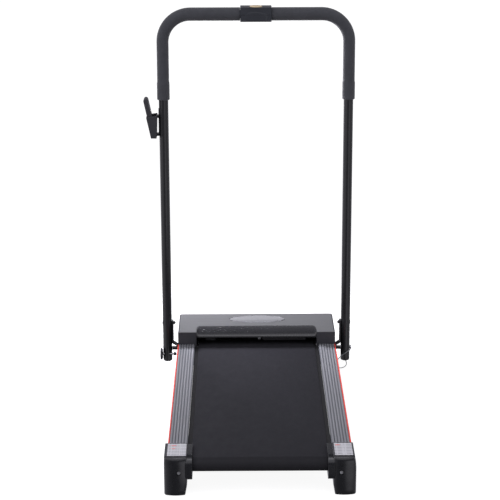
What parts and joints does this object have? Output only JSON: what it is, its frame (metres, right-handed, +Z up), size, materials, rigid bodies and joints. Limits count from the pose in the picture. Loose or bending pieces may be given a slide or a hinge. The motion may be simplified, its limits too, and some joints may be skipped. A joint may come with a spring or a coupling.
{
  "type": "folding walking treadmill",
  "caption": "Flat compact walking treadmill: belt deck between ribbed foot rails, low motor cover with oval display, fold-down U handrail with foam grips and remote pocket.",
  "frame": {"origin": "on the floor, under the centre of the whole box without the lanyard; the deck's middle plane is at x = 0.0184 because the remote control makes the left side wider", "axes": "+X to the user's right, +Y forwards from the rear end caps to the motor, +Z up"},
  "size_m": [0.6368, 1.0955, 1.1513],
  "materials": {
    "black_paint": "semi-gloss black powder coat",
    "bright_steel": "zinc-bright, lightly brushed",
    "grey_aluminium": "grey anodised extrusion, satin",
    "red_strip": "glossy red",
    "brushed_panel": "silver-grey with a fine brushed grain",
    "satin_plastic": "satin black moulding",
    "gloss_plastic": "polished black moulding",
    "grip_foam": "charcoal closed-cell foam, matte",
    "rubber": "matte black rubber",
    "belt_fabric": "black PVC belt with a fine texture, matte",
    "deck_wood": "plain fibreboard",
    "display_glass": "clear grey window, polished",
    "circuit": "green circuit board",
    "cream_button": "cream with a gold tint",
    "coated_wire": "clear-coated steel wire, light grey"
  },
  "bodies": {
    "chassis": {"belt_shroud": "gloss_plastic", "bottom_pan": "black_paint", "control_board": "circuit", "cover_top_panel": "brushed_panel", "cross_member_front": "black_paint", "cross_member_rear": "black_paint", "deck_board": "deck_wood", "deck_cushion_left": "rubber", "deck_cushion_right": "rubber", "display_lens": "display_glass", "drive_belt": "rubber", "end_cap_left": "satin_plastic", "end_cap_right": "satin_plastic", "foot_rail_left": "grey_aluminium", "foot_rail_right": "grey_aluminium", "frame_rail_left": "black_paint", "frame_rail_right": "black_paint", "front_foot_left": "rubber", "front_foot_right": "rubber", "front_roller_shaft": "bright_steel", "hinge_bracket_left": "black_paint", "hinge_bracket_right": "black_paint", "motor": "satin_plastic", "motor_cover": "satin_plastic", "pivot_bolt_left": "bright_steel", "pivot_bolt_right": "bright_steel", "pivot_nut_left": "bright_steel", "pivot_nut_right": "bright_steel", "power_inlet": "satin_plastic", "rear_roller_shaft": "bright_steel", "trim_strip_left": "red_strip", "trim_strip_right": "red_strip", "walking_belt": "belt_fabric", "wheel_axle": "bright_steel"},
    "adjuster_left": {"adjuster_screw_left": "bright_steel"},
    "adjuster_right": {"adjuster_screw_right": "bright_steel"},
    "rear_roller_body": {"rear_roller": "bright_steel"},
    "front_roller_body": {"front_roller": "bright_steel"},
    "motor_rotor_body": {"motor_rotor": "bright_steel"},
    "wheel_left": {"transport_wheel_left": "satin_plastic"},
    "wheel_right": {"transport_wheel_right": "satin_plastic"},
    "rocker": {"rocker_switch": "satin_plastic"},
    "handle": {"upright_left": "black_paint", "upright_right": "black_paint", "handle_tube": "black_paint", "foam_grip_left": "grip_foam", "foam_grip_right": "grip_foam", "grip_sleeve_lower": "satin_plastic", "grip_sleeve_upper": "satin_plastic", "remote_pocket": "satin_plastic", "pocket_clip": "black_paint", "tube_plug_left": "satin_plastic", "tube_plug_right": "satin_plastic", "pin_lanyard": "coated_wire"},
    "start_button_body": {"start_button": "cream_button"},
    "knob": {"locking_knob": "satin_plastic"},
    "pin": {"lock_pin": "bright_steel"},
    "remote": {"remote_body": "satin_plastic"},
    "button_plus": {"remote_button_plus": "rubber"},
    "button_minus": {"remote_button_minus": "rubber"}
  },
  "joints": [
    {"name": "handle_fold", "type": "hinge", "parent": "chassis", "child": "handle", "pos_m": [0.0184, 0.397, 0.161], "axis": [1, 0, 0], "range_deg": [0, 90]},
    {"name": "front_roller_spin", "type": "hinge", "parent": "chassis", "child": "front_roller_body", "pos_m": [0.0184, 0.39, 0.083], "axis": [1, 0, 0], "continuous": true},
    {"name": "rear_roller_spin", "type": "hinge", "parent": "chassis", "child": "rear_roller_body", "pos_m": [0.0184, -0.52, 0.083], "axis": [1, 0, 0], "continuous": true},
    {"name": "motor_spin", "type": "hinge", "parent": "chassis", "child": "motor_rotor_body", "pos_m": [0.0184, 0.487, 0.092], "axis": [1, 0, 0], "continuous": true},
    {"name": "wheel_left_spin", "type": "hinge", "parent": "chassis", "child": "wheel_left", "pos_m": [-0.17485, 0.52, 0.0215], "axis": [1, 0, 0], "continuous": true},
    {"name": "wheel_right_spin", "type": "hinge", "parent": "chassis", "child": "wheel_right", "pos_m": [0.21165, 0.52, 0.0215], "axis": [1, 0, 0], "continuous": true},
    {"name": "adjuster_left_turn", "type": "hinge", "parent": "chassis", "child": "adjuster_left", "pos_m": [-0.1946, -0.52, 0.066], "axis": [0, 1, 0], "continuous": true},
    {"name": "adjuster_right_turn", "type": "hinge", "parent": "chassis", "child": "adjuster_right", "pos_m": [0.2314, -0.52, 0.066], "axis": [0, 1, 0], "continuous": true},
    {"name": "rocker_tilt", "type": "hinge", "parent": "chassis", "child": "rocker", "pos_m": [-0.1466, 0.5395, 0.085], "axis": [1, 0, 0], "range_deg": [0, 20]},
    {"name": "start_button_press", "type": "slide", "parent": "handle", "child": "start_button_body", "axis": [0, 0, -1], "range_m": [0, 0.002], "stiffness_N_per_m": 500, "springref_m": -0.002},
    {"name": "knob_turn", "type": "hinge", "parent": "handle", "child": "knob", "pos_m": [-0.2744, 0.39, 0.06], "axis": [1, 0, 0], "continuous": true},
    {"name": "lock_pin_slide", "type": "slide", "parent": "handle", "child": "pin", "axis": [1, 0, 0], "range_m": [0, 0.055]},
    {"name": "remote_slide", "type": "slide", "parent": "handle", "child": "remote", "axis": [-0.2079, 0, 0.9781], "range_m": [0, 0.075]},
    {"name": "remote_plus_press", "type": "slide", "parent": "remote", "child": "button_plus", "axis": [0.9781, 0, 0.2079], "range_m": [0, 0.001], "stiffness_N_per_m": 300, "springref_m": -0.001},
    {"name": "remote_minus_press", "type": "slide", "parent": "remote", "child": "button_minus", "axis": [0.9781, 0, 0.2079], "range_m": [0, 0.001], "stiffness_N_per_m": 300, "springref_m": -0.001}
  ],
  "couplings": [
    {"joint": "rear_roller_spin", "follows": "front_roller_spin", "ratio": 1},
    {"joint": "motor_spin", "follows": "front_roller_spin", "ratio": 2.0833}
  ]
}
